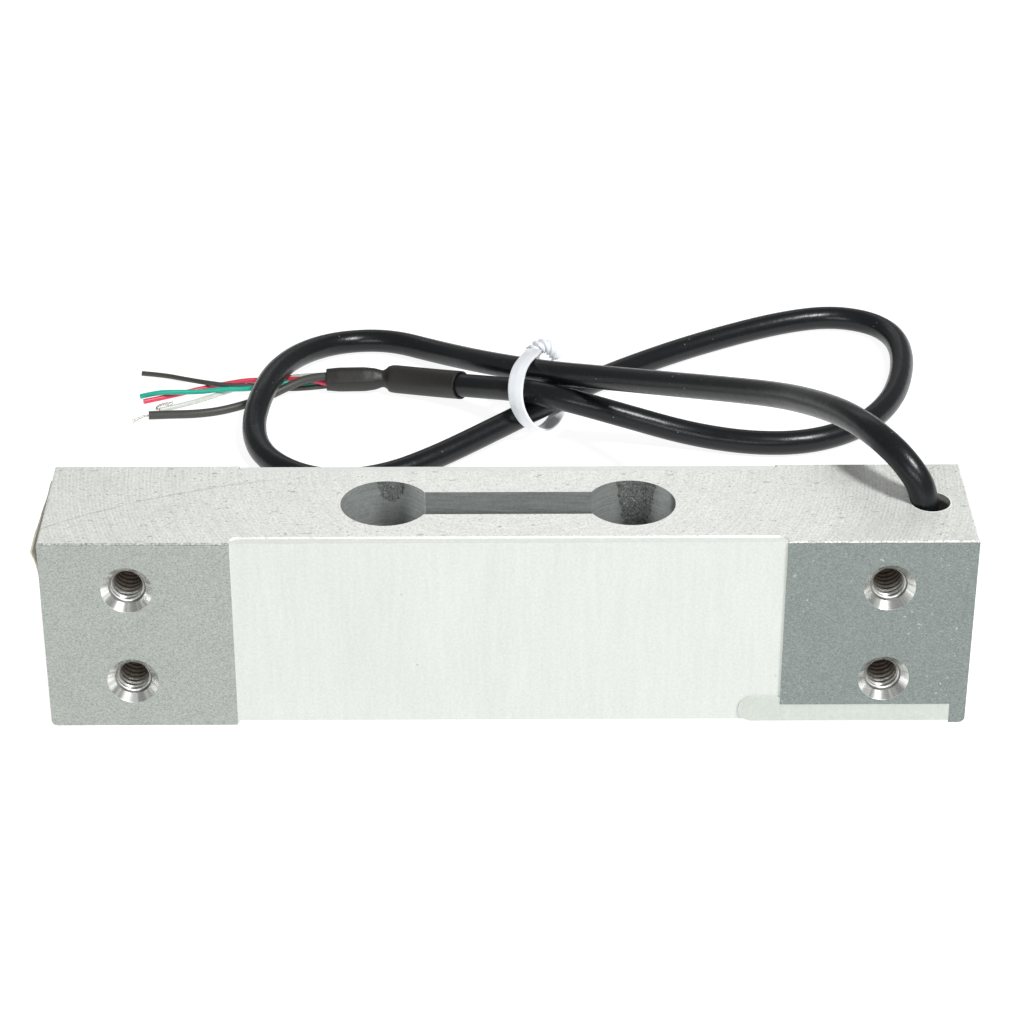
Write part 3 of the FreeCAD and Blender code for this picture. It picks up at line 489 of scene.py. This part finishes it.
def thread_metal():
    """Cut thread: silver by the mouth, brown-grey painted shade deeper in and in the roots, a painted
    highlight on the left.
    """
    look = Shader("cut_thread", metallic=0.7)
    place = look.position()
    x, y, z = look.split(place)
    radius = away(abs(x) - HOLE_X, abs(z - HOLE_Z) - HOLE_RISE)
    mouth = abs(y).rise(HALF_DEPTH - 5.4 * MM, HALF_DEPTH - 1.0 * MM)
    # Painted light: each hole's left side is lighter by tone alone.
    painted_left_light = ((x - x.choose(HOLE_X, -HOLE_X)) / radius).rise(0.3, -0.7)
    torn = look.noise(look.join(x, y * 2.0, z), 0.35 * MM, 3.0, 0.7)
    # Painted shade in the roots of the thread.
    root = radius.rise(HOLE_RADIUS - 0.26 * MM, HOLE_RADIUS - 0.06 * MM)
    look.bump(torn, 0.02 * MM, 0.6)
    # Painted shade: the tone goes from the aluminium at the mouth to the brown-grey deeper in.
    tone = look.mix(mouth, colours().thread, colours().aluminium)
    tone = look.shade(tone, (0.3 + painted_left_light * 0.8 + torn) * (1 - root * 0.86))
    return look.set(base_color=tone, roughness=0.2 + torn * 0.2)


def cured(name, tone, roughness):
    """Sealant or potting that was smeared on and cured: soft waves, a fine skin and a few specks of dust."""
    look = Shader(name, coat_weight=0.15, coat_roughness=0.3)
    place = look.position()
    x, y, z = look.split(place)
    waves = look.noise(look.join(x, y, z * 0.35), 7 * MM, 2.0)
    skin = look.noise(place, 0.4 * MM, 3.0, 0.6)
    brush = look.noise(look.join(x, y, z * 0.08), 0.7 * MM, 2.0)
    specks = look.cells(place, 3.7 * MM).rise(0.07, 0.03) * look.noise(place, 6 * MM).rise(0.56, 0.6)
    look.bump(waves + skin * 0.1 + brush * 0.05, 0.25 * MM, 0.5)
    shade = 0.67 + waves * 0.06 + skin * 0.24 + brush * 0.09 - specks * 0.3
    return look.set(base_color=look.shade(tone, shade), roughness=roughness + skin * 0.1)


def film():
    """Cloudy translucent film."""
    look = Shader("end_film", coat_weight=0.3, coat_roughness=0.2)
    place = look.position()
    cloud = look.noise(place, 4 * MM, 3.0)
    look.bump(cloud, 0.2 * MM, 0.4)
    return look.set(base_color=look.shade(colours().film, 0.95 + cloud * 0.08), roughness=0.3 + cloud * 0.15,
                    alpha=0.82 + cloud * 0.12)


def jacket():
    """Extruded black jacket: gloss broken by a fine skin, slight lumps, dusty scuffs and specks of dust."""
    look = Shader("black_jacket", specular_ior_level=0.36)
    place = look.position()
    lumps = look.noise(place, 2.4 * MM, 2.0)
    skin = look.noise(place, 0.25 * MM, 3.0, 0.6)
    scuffs = look.noise(place, 1.3 * MM, 4.0, 0.7).rise(0.56, 0.72)
    dust = look.cells(place, 1.6 * MM).rise(0.09, 0.05) * look.noise(place, 5 * MM).rise(0.5, 0.6)
    look.bump(lumps * 0.8 + skin * 0.2, 0.12 * MM, 0.6)
    tone = look.shade(colours().jacket, 0.7 + scuffs * 0.5 + skin * 0.4 + dust * 30)
    return look.set(base_color=tone, roughness=0.24 + scuffs * 0.1 + skin * 0.1)


def shrink_tube():
    """Satin black sleeve with a fine skin and slight folds."""
    look = Shader("heat_shrink")
    place = look.position()
    skin = look.noise(place, 0.3 * MM, 3.0, 0.6)
    folds = look.noise(place, 1.6 * MM, 2.0)
    look.bump(folds + skin * 0.15, 0.12 * MM, 0.6)
    return look.set(base_color=look.shade(colours().shrink, 0.8 + skin * 0.35), roughness=0.42 + skin * 0.12)


def insulation(name, tone, roughness=0.3, alpha=1.0):
    """Coloured insulation, slightly mottled, and see-through where alpha is below 1."""
    look = Shader(name)
    place = look.position()
    cloud = look.noise(place, 0.9 * MM, 3.0)
    look.bump(cloud, 0.05 * MM, 0.5)
    values = {"base_color": look.shade(tone, 0.85 + cloud * 0.25), "roughness": roughness + cloud * 0.12}
    if alpha < 1.0:
        values["alpha"] = alpha + cloud * 0.1
    return look.set(**values)


def tinned_copper():
    """Bright drawn wire."""
    look = Shader("tinned_copper", metallic=0.9)
    drawn = look.noise(look.position(), 0.2 * MM, 2.0)
    return look.set(base_color=look.shade(colours().tin, 0.8 + drawn * 0.3), roughness=0.28 + drawn * 0.15)


def tie_coating():
    """White plastic coating with a soft gloss."""
    look = Shader("tie_coating", coat_weight=0.25)
    place = look.position()
    cloud = look.noise(place, 1.2 * MM, 2.0)
    look.bump(cloud, 0.08 * MM, 0.5)
    return look.set(base_color=look.shade(colours().tie, 0.96 + cloud * 0.06), roughness=0.28 + cloud * 0.1)


def plain_part(name, tone, metallic=0.0, roughness=0.45):
    """A finish for a piece bonded inside, under the sealant: one colour with a fine mottle."""
    look = Shader(name, metallic=metallic)
    mottle = look.noise(look.position(), 0.4 * MM, 2.0)
    return look.set(base_color=look.shade(tone, 0.85 + mottle * 0.3), roughness=roughness + mottle * 0.1)


def ground():
    """A sheet lit from below, as on a light table, so that shadows on it stay faint."""
    look = Shader("pale_floor", roughness=0.9, specular_ior_level=0.1, emission_strength=0.88)
    return look.set(base_color=tuple(level * 0.33 for level in colours().floor),
                    emission_color=(1.0, 1.0, 1.0))


# ---------------------------------------------------------------- shapes

def add(name, data, material):
    """Puts new object data in the scene, at the origin, riding on the part's one body."""
    piece = bpy.data.objects.new(name, data)
    bpy.context.scene.collection.objects.link(piece)
    data.materials.append(material)
    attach(piece, "root")
    return piece


def dress(material, *nodes):
    """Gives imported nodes, which keep their shape, a better material."""
    for node in nodes:
        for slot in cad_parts[node].material_slots:
            slot.material = material


def mesh_from(grids, along=False):
    """A closed mesh of quads over grids of points, each rows by columns by 3.

    Point (i, j) joins (i + 1, j) and (i, j + 1). The last column joins the first, and the last row joins the
    first where along is true. Otherwise a face closes each end. Faces are turned to point outwards.
    """
    points, faces, start = [], [], 0
    for grid in grids:
        rows, columns = grid.shape[:2]
        index = start + np.arange(rows * columns).reshape(rows, columns)
        index = np.hstack([index, index[:, :1]])
        if along:
            index = np.vstack([index, index[:1]])
        quads = np.stack([index[:-1, :-1], index[1:, :-1], index[1:, 1:], index[:-1, 1:]], -1).reshape(-1, 4)
        corners = grid.reshape(-1, 3)[quads - start]
        middle = corners.mean(axis=(0, 1))
        a, b, c, d = (corners[:, k] - middle for k in range(4))
        turn = (np.cross(c - a, d - b) * (a + b + c + d)).sum()
        ends = [] if along else [index[0, :columns], index[-1, columns - 1::-1]]
        if turn < 0:
            quads, ends = quads[:, ::-1], [end[::-1] for end in ends]
        points.append(grid.reshape(-1, 3))
        faces += quads.tolist() + [end.tolist() for end in ends]
        start += rows * columns
    mesh = bpy.data.meshes.new("surface")
    mesh.from_pydata(np.concatenate(points).tolist(), [], faces)
    mesh.shade_smooth()
    return mesh


def curve_along(name, route, diameter):
    """A smooth line: a NURBS spline of order 3 with the route as its control points, and a round section."""
    curve = bpy.data.curves.new(name, "CURVE")
    curve.dimensions = "3D"
    curve.bevel_depth = diameter / 2
    curve.bevel_resolution = 7
    curve.resolution_u = 10
    curve.use_fill_caps = diameter > 0
    spline = curve.splines.new("NURBS")
    spline.points.add(len(route) - 1)
    for point, place in zip(spline.points, route):
        point.co = (*place, 1.0)
    spline.order_u = 3
    spline.use_endpoint_u = True
    return curve


def line_of(route):
    """Points along a route's smooth line, read from its NURBS curve with no bevel."""
    curve = curve_along("line", route, 0.0)
    holder = bpy.data.objects.new("line", curve)
    mesh = bpy.data.meshes.new_from_object(holder)
    points = np.empty(len(mesh.vertices) * 3)
    mesh.vertices.foreach_get("co", points)
    bpy.data.objects.remove(holder)
    bpy.data.curves.remove(curve)
    bpy.data.meshes.remove(mesh)
    return points.reshape(-1, 3)


def evenly(points, step):
    """The same line with points a step apart, by linear interpolation over its length.

    Gives the points and their distances from the start.
    """
    gaps = np.linalg.norm(np.diff(points, axis=0), axis=1)
    reach = np.concatenate([[0.0], np.cumsum(gaps)])
    distance = np.linspace(0.0, reach[-1], max(2, round(reach[-1] / step) + 1))
    return np.stack([np.interp(distance, reach, points[:, k]) for k in range(3)], -1), distance


def unit(vectors):
    """Vectors over their lengths."""
    return vectors / np.linalg.norm(vectors, axis=-1, keepdims=True)


def sides_of(path, across):
    """Two unit vectors square to the path at each point.

    The first is across, less its part along the path. The second is square to the first and to the path.
    """
    ahead = unit(np.gradient(path, axis=0))
    across = np.broadcast_to(np.asarray(across, float), path.shape)
    first = unit(across - (across * ahead).sum(-1, keepdims=True) * ahead)
    return first, np.cross(ahead, first)


def swept(path, across, first_offset, second_offset):
    """Path plus the first offset along one side vector and the second along the other.

    The offsets are arrays of rows by columns: a section carried along the path, which may change on its way.
    """
    first, second = sides_of(path, across)
    return (path[:, None] + first[:, None] * first_offset[..., None]
            + second[:, None] * second_offset[..., None])


def round_turn(count):
    """Angles of one whole turn in equal steps, without its last."""
    return np.linspace(0.0, 2 * np.pi, count, endpoint=False)


def sleeve_mesh():
    """Heat-shrink sleeve: a wall carried round the cable's last stretch and past its end.

    The outer radius is the grip radius on the jacket, falls to the neck past the jacket's end, swells over
    the wires and closes in at the mouth. It goes straight from stop to stop, and is then averaged over seven
    rows. Past the jacket it has shallow ribs where the wires press: the radius times 1 plus small cosines of
    five and three times the angle. The inner surface is the outer one less the wall, or the jacket's, and a
    lip joins the two at both ends.
    """
    size = sizes()
    step, lip, bite = 0.15 * MM, 0.08 * MM, 0.03 * MM
    jacket_line, distance = evenly(line_of(CABLE_ROUTE), step)
    jacket_line = jacket_line[distance > distance[-1] - size.sleeve_grip]
    end = jacket_line[-1]
    beyond = end + (np.array(SLEEVE_END) - end) * np.linspace(0, 1, 60)[1:, None]
    path, reach = evenly(np.concatenate([jacket_line, beyond]), step)
    past = reach - size.sleeve_grip
    tail = past[-1]
    grip, neck, bulge = size.sleeve_radius, size.sleeve_neck, size.sleeve_bulge
    stops = ((-size.sleeve_grip, grip), (-0.9 * MM, grip), (0, grip - 0.16 * MM), (0.7 * MM, neck),
             (1.2 * MM, neck), (2.2 * MM, bulge - 0.25 * MM), (4.2 * MM, bulge), (0.8 * tail, bulge),
             (tail, bulge - 0.2 * MM))
    radius = np.interp(past, *zip(*stops))
    radius = np.convolve(np.pad(radius, 3, mode="edge"), np.ones(7) / 7, "valid")
    angle = round_turn(56)
    ribs = 0.035 * np.cos(5 * angle + 0.6) + 0.02 * np.cos(3 * angle)
    outer = radius[:, None] * (1 + np.clip(past / (3 * MM), 0, 1)[:, None] * ribs)
    inner = outer - size.sleeve_wall
    inner[past < 0] = size.cable_diameter / 2 - bite
    rows = np.concatenate([outer[:1] - lip, outer, outer[-1:] - lip, inner[-1:] + lip, inner[::-1]])
    order = np.concatenate([[0], np.arange(len(path)), [-1, -1], np.arange(len(path))[::-1]])
    first, second = sides_of(path, (0, 0, 1))
    grid = (path[order][:, None] + first[order][:, None] * (rows * np.cos(angle))[..., None]
            + second[order][:, None] * (rows * np.sin(angle))[..., None])
    return mesh_from([grid], along=True)


def hairs_mesh(route, count, turns, spread):
    """Bare hairs: round tubes that wind about the route's line and fan out towards the tip.

    Each hair's middle is the line plus a circle whose radius grows with the square of the distance run, and
    never lies lower than on the ground.
    """
    radius = sizes().hair_diameter / 2
    path, distance = evenly(line_of(route), 0.12 * MM)
    share = distance / distance[-1]
    angle = round_turn(8)
    grids = []
    for start in round_turn(count):
        turn = start + 2 * np.pi * turns * share
        swing = 0.11 * MM + spread * share ** 2 * (0.6 + 0.4 * math.sin(3 * start))
        first, second = sides_of(path, (0, 0, 1))
        middle = path + first * (swing * np.cos(turn))[:, None] + second * (swing * np.sin(turn))[:, None]
        middle[:, 2] = np.maximum(middle[:, 2], radius)
        section = np.full((len(middle), 1), radius)
        grids.append(swept(middle, (0, 0, 1), section * np.cos(angle), section * np.sin(angle)))
    return mesh_from(grids)


def strip_section():
    """The section of the tie's strip: two thin wings with a round bulge over the core wire between them.

    Width goes as the cosine of the angle to the power 0.8, and thickness as its sine to the power 0.5, both
    with their signs. The bulge is a bell curve of the width. Gives the offsets along and across the strip.
    """
    size = sizes()
    core_share = 0.26
    cosine, sine = np.cos(round_turn(40)), np.sin(round_turn(40))
    wide = np.sign(cosine) * np.abs(cosine) ** 0.8
    bulge = (size.tie_core - size.tie_wing) / 2 * np.exp(-(wide / core_share) ** 2)
    thick = np.sign(sine) * np.abs(sine) ** 0.5 * (size.tie_wing / 2 + bulge)
    return wide * size.tie_width / 2, thick


def tie_mesh():
    """Twist tie: the strip's section carried round the strands, and its two ends twisted together.

    The ring keeps one side vector. In the twist two thicker sections, a quarter turn apart, turn about the
    path as the distance grows, and narrow a little to the cut end.
    """
    turns, thicker = 1.9, 1.9
    wide, thick = strip_section()
    ring, _ = evenly(line_of(TIE_ROUTE), 0.25 * MM)
    rows = np.ones((len(ring), 1))
    grids = [swept(ring, TIE_ACROSS, rows * wide, rows * thick)]
    twist, distance = evenly(line_of(TWIST_ROUTE), 0.12 * MM)
    share = distance / distance[-1]
    for start in (0.0, np.pi / 2):
        turn = (start + 2 * np.pi * turns * share)[:, None]
        across, up = wide * (0.98 - 0.12 * share)[:, None], thick * thicker
        grids.append(swept(twist, TWIST_ACROSS, across * np.cos(turn) - up * np.sin(turn),
                           across * np.sin(turn) + up * np.cos(turn)))
    return mesh_from(grids)


def thread_mesh(x, z):
    """A cut thread in a hole along Y: radius is the wall's less a ridge that goes round once for each pitch.

    The wall is the hole's, or the countersink's cone where that is wider. The ridge is a triangle wave of the
    distance along the hole less the turn, rounded at its crest. It fades out towards the cone. There the
    lining dives just under the metal, as its outer side does.
    """
    size = sizes()
    end, start_below, fade_over = HALF_DEPTH - 0.45 * MM, 0.95 * MM, 0.35 * MM
    proud, sunk, backing = 0.02 * MM, 0.03 * MM, 0.05 * MM
    angle = round_turn(56)
    along = np.linspace(-end, end, 281)[:, None]
    below_face = HALF_DEPTH - np.abs(along)
    wall = np.maximum(HOLE_RADIUS, CONE_MOUTH - below_face)
    wave = (along / size.thread_pitch - angle / (2 * np.pi)) % 1.0
    ridge = np.clip(1.15 - np.abs(2 * wave - 1) * 1.35, 0, 1) ** 0.8
    fade = np.clip((below_face - start_below) / fade_over, 0, 1)
    inner = wall + sunk - (proud + sunk + size.thread_depth * ridge) * fade
    outer = np.full((2, len(angle)), wall[0, 0] + backing)
    radius = np.concatenate([inner, outer])
    depth = np.broadcast_to(np.concatenate([along, [[end], [-end]]]), radius.shape)
    return np.stack([x + radius * np.cos(angle), depth, z + radius * np.sin(angle)], -1)


def film_mesh():
    """End film: a flat sheet whose upper edge leaves the face along a parabola, more at its front corner.

    Lift is the square of the height above the last bonded line, times a factor that falls from front to back,
    plus a slight sine ripple across.
    """
    thickness = sizes().film_thickness
    low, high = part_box("end_label")
    face = BEAM_LOW[0]
    bonded, glue, ripple_height, ripple_rate = 23.4 * MM, 0.005 * MM, 0.03 * MM, 900
    across = np.linspace(low[1], high[1], 41)
    height = np.linspace(low[2], high[2], 61)
    share = np.clip((height - bonded) / (high[2] - bonded), 0, 1) ** 2
    corner = 0.72 + 0.28 * np.cos(np.pi * (across - low[1]) / (high[1] - low[1]))
    lift = (face - low[0] - thickness) * share[None] * corner[:, None]
    ripple = ripple_height * np.sin(across[:, None] * ripple_rate) * share[None]
    inner_x = face - glue - lift - ripple
    outer_x = inner_x - thickness
    heights = np.concatenate([height, height[::-1]])
    columns = np.concatenate([outer_x, inner_x[:, ::-1]], axis=1)
    grid = np.stack([columns, np.repeat(across[:, None], len(heights), 1),
                     np.repeat(heights[None], len(across), 0)], -1)
    return mesh_from([grid])


# ---------------------------------------------------------------- operators

class PieceOperator:
    """What all operators of this file share."""
    bl_options = {"REGISTER", "UNDO"}


class LOADCELL_OT_stage(PieceOperator, bpy.types.Operator):
    """Add the camera, the floor, the soft lights and the pale surroundings"""
    bl_idname = "load_cell.stage"
    bl_label = "Stage"

    def execute(self, context):
        self.add_camera(context)
        self.add_floor()
        for name, (place, spread, power) in LIGHTS.items():
            self.add_light(name, place, spread, power)
        world = bpy.data.worlds.new("pale_surroundings")
        world.use_nodes = True
        background = world.node_tree.nodes["Background"]
        background.inputs["Color"].default_value = (1.0, 1.0, 1.0, 1.0)
        background.inputs["Strength"].default_value = SURROUNDINGS_STRENGTH
        context.scene.world = world
        context.scene.view_settings.view_transform = "Standard"
        return {"FINISHED"}

    def add_camera(self, context):
        camera = bpy.data.objects.new("camera", bpy.data.cameras.new("camera"))
        camera.data.lens = sizes().lens
        camera.data.sensor_width = 36.0
        camera.data.clip_start, camera.data.clip_end = 0.01, 20.0
        turn = (Matrix.Rotation(math.radians(CAMERA_AZIMUTH), 4, "Z")
                @ Matrix.Rotation(math.radians(90 - CAMERA_ELEVATION), 4, "X")
                @ Matrix.Rotation(math.radians(CAMERA_ROLL), 4, "Z"))
        camera.matrix_world = Matrix.Translation(CAMERA_PLACE) @ turn
        context.scene.collection.objects.link(camera)
        context.scene.camera = camera

    def add_floor(self):
        mesh = bpy.data.meshes.new("floor")
        corners = [(x * FLOOR_HALF, y * FLOOR_HALF, 0) for x, y in ((-1, -1), (1, -1), (1, 1), (-1, 1))]
        mesh.from_pydata(corners, [], [(0, 1, 2, 3)])
        mesh.materials.append(ground())
        floor = bpy.data.objects.new("floor", mesh)
        bpy.context.scene.collection.objects.link(floor)

    def add_light(self, name, place, spread, power):
        data = bpy.data.lights.new(name, "AREA")
        data.shape, data.size, data.size_y, data.energy = "RECTANGLE", *spread, power
        light = bpy.data.objects.new(name, data)
        turn = Vector(place).to_track_quat("Z", "Y").to_matrix().to_4x4()
        light.matrix_world = Matrix.Translation(place) @ turn
        bpy.context.scene.collection.objects.link(light)


class LOADCELL_OT_cable(PieceOperator, bpy.types.Operator):
    """Lay the cable and its tail wires, with the sleeve, the bare strands and the tie that sit on them"""
    bl_idname = "load_cell.cable"
    bl_label = "Cable, wires and tie"

    def execute(self, context):
        size, tones = sizes(), colours()
        cable = add("cable_jacket", curve_along("cable_jacket", CABLE_ROUTE, size.cable_diameter), jacket())
        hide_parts("cable")
        sleeve = add("shrink_sleeve", sleeve_mesh(), shrink_tube())
        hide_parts("heat_shrink")
        tie = add("tie_strip", tie_mesh(), tie_coating())
        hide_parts("twist_tie")

        finishes = {
            "wire_red": (insulation("red_wire", tones.red), "red_insulation"),
            "wire_green": (insulation("green_wire", tones.green), "green_insulation"),
            "wire_black": (insulation("black_wire", tones.black, 0.4), "black_insulation"),
            "wire_white": (insulation("white_wire", tones.white, 0.25, alpha=0.85), "white_insulation"),
            "shield_sleeve": (insulation("drain_sleeve", tones.black, 0.42), "black_insulation")}
        metal = tinned_copper()
        drain = add("drain_hairs", hairs_mesh(DRAIN_ROUTE, 3, 1.2, 0.3 * MM), metal)
        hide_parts("drain_strand")
        curl = add("curled_hairs", hairs_mesh(CURL_ROUTE, 4, 2.0, 0.35 * MM), metal)
        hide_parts("white_strand")
        for name, route in WIRE_ROUTES.items():
            finish, slot = finishes[name]
            across = size.shield_diameter if name == "shield_sleeve" else size.wire_diameter
            wire = add(name + "_cover", curve_along(name, route, across), finish)
            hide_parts(name)
        return {"FINISHED"}


class LOADCELL_OT_threads(PieceOperator, bpy.types.Operator):
    """Cut the threads in the four tapped holes"""
    bl_idname = "load_cell.threads"
    bl_label = "Threads"

    def execute(self, context):
        grids = [thread_mesh(x, HOLE_Z + rise) for x in (-HOLE_X, HOLE_X) for rise in (-HOLE_RISE, HOLE_RISE)]
        threads = add("cut_threads", mesh_from(grids, along=True), thread_metal())
        return {"FINISHED"}


class LOADCELL_OT_film(PieceOperator, bpy.types.Operator):
    """Stick the blank film on the end face"""
    bl_idname = "load_cell.film"
    bl_label = "End film"

    def execute(self, context):
        sheet = add("end_film", film_mesh(), film())
        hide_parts("end_label")
        return {"FINISHED"}


class LOADCELL_OT_finishes(PieceOperator, bpy.types.Operator):
    """Finish the beam, the sealant, the potting and what is bonded inside"""
    bl_idname = "load_cell.finishes"
    bl_label = "Finishes"

    def execute(self, context):
        tones = colours()
        dress(aluminium(), "beam")
        dress(cured("white_sealant", tones.sealant, 0.42), "front_sealant", "back_sealant")
        dress(cured("cream_potting", tones.potting, 0.4), "channel_potting")
        sides = ("front", "back")
        dress(plain_part("gauge_film", (0.52, 0.3, 0.09), 0.0, 0.3),
              *(f"gauge_{side}_{end}" for side in sides for end in ("left", "right")))
        dress(plain_part("board", (0.05, 0.2, 0.1)), *(f"terminal_{side}" for side in sides))
        dress(plain_part("copper_ribbon", (0.7, 0.36, 0.2), 0.9, 0.25), *(f"leads_{side}" for side in sides))
        dress(plain_part("resistor_body", (0.02, 0.02, 0.022)), "zero_trim_resistor", "span_resistor")
        for name in ("red", "green", "black", "white"):
            dress(insulation(f"inner_{name}", getattr(tones, name)), f"bridge_wire_{name}")
        return {"FINISHED"}


class LOADCELL_PT_panel(bpy.types.Panel):
    """Lists the operators, sizes and colours of the load cell"""
    bl_idname = "LOADCELL_PT_panel"
    bl_label = "Load Cell"
    bl_space_type = "VIEW_3D"
    bl_region_type = "UI"
    bl_category = "Load Cell"

    def draw(self, context):
        for operator in OPERATORS:
            self.layout.operator(operator.bl_idname)
        for group in (context.scene.load_cell_sizes, context.scene.load_cell_colours):
            box = self.layout.box()
            for name in type(group).__annotations__:
                box.prop(group, name)


OPERATORS = (LOADCELL_OT_stage, LOADCELL_OT_cable, LOADCELL_OT_threads, LOADCELL_OT_film,
             LOADCELL_OT_finishes)
CLASSES = (LoadCellSizes, LoadCellColours, *OPERATORS, LOADCELL_PT_panel)


def register():
    for cls in CLASSES:
        bpy.utils.register_class(cls)
    bpy.types.Scene.load_cell_sizes = bpy.props.PointerProperty(type=LoadCellSizes)
    bpy.types.Scene.load_cell_colours = bpy.props.PointerProperty(type=LoadCellColours)


def unregister():
    del bpy.types.Scene.load_cell_colours
    del bpy.types.Scene.load_cell_sizes
    for cls in reversed(CLASSES):
        bpy.utils.unregister_class(cls)


def main():
    """Builds the whole load cell."""
    register()
    bpy.ops.load_cell.stage()
    bpy.ops.load_cell.cable()
    bpy.ops.load_cell.threads()
    bpy.ops.load_cell.film()
    bpy.ops.load_cell.finishes()


if __name__ == "__main__":
    main()
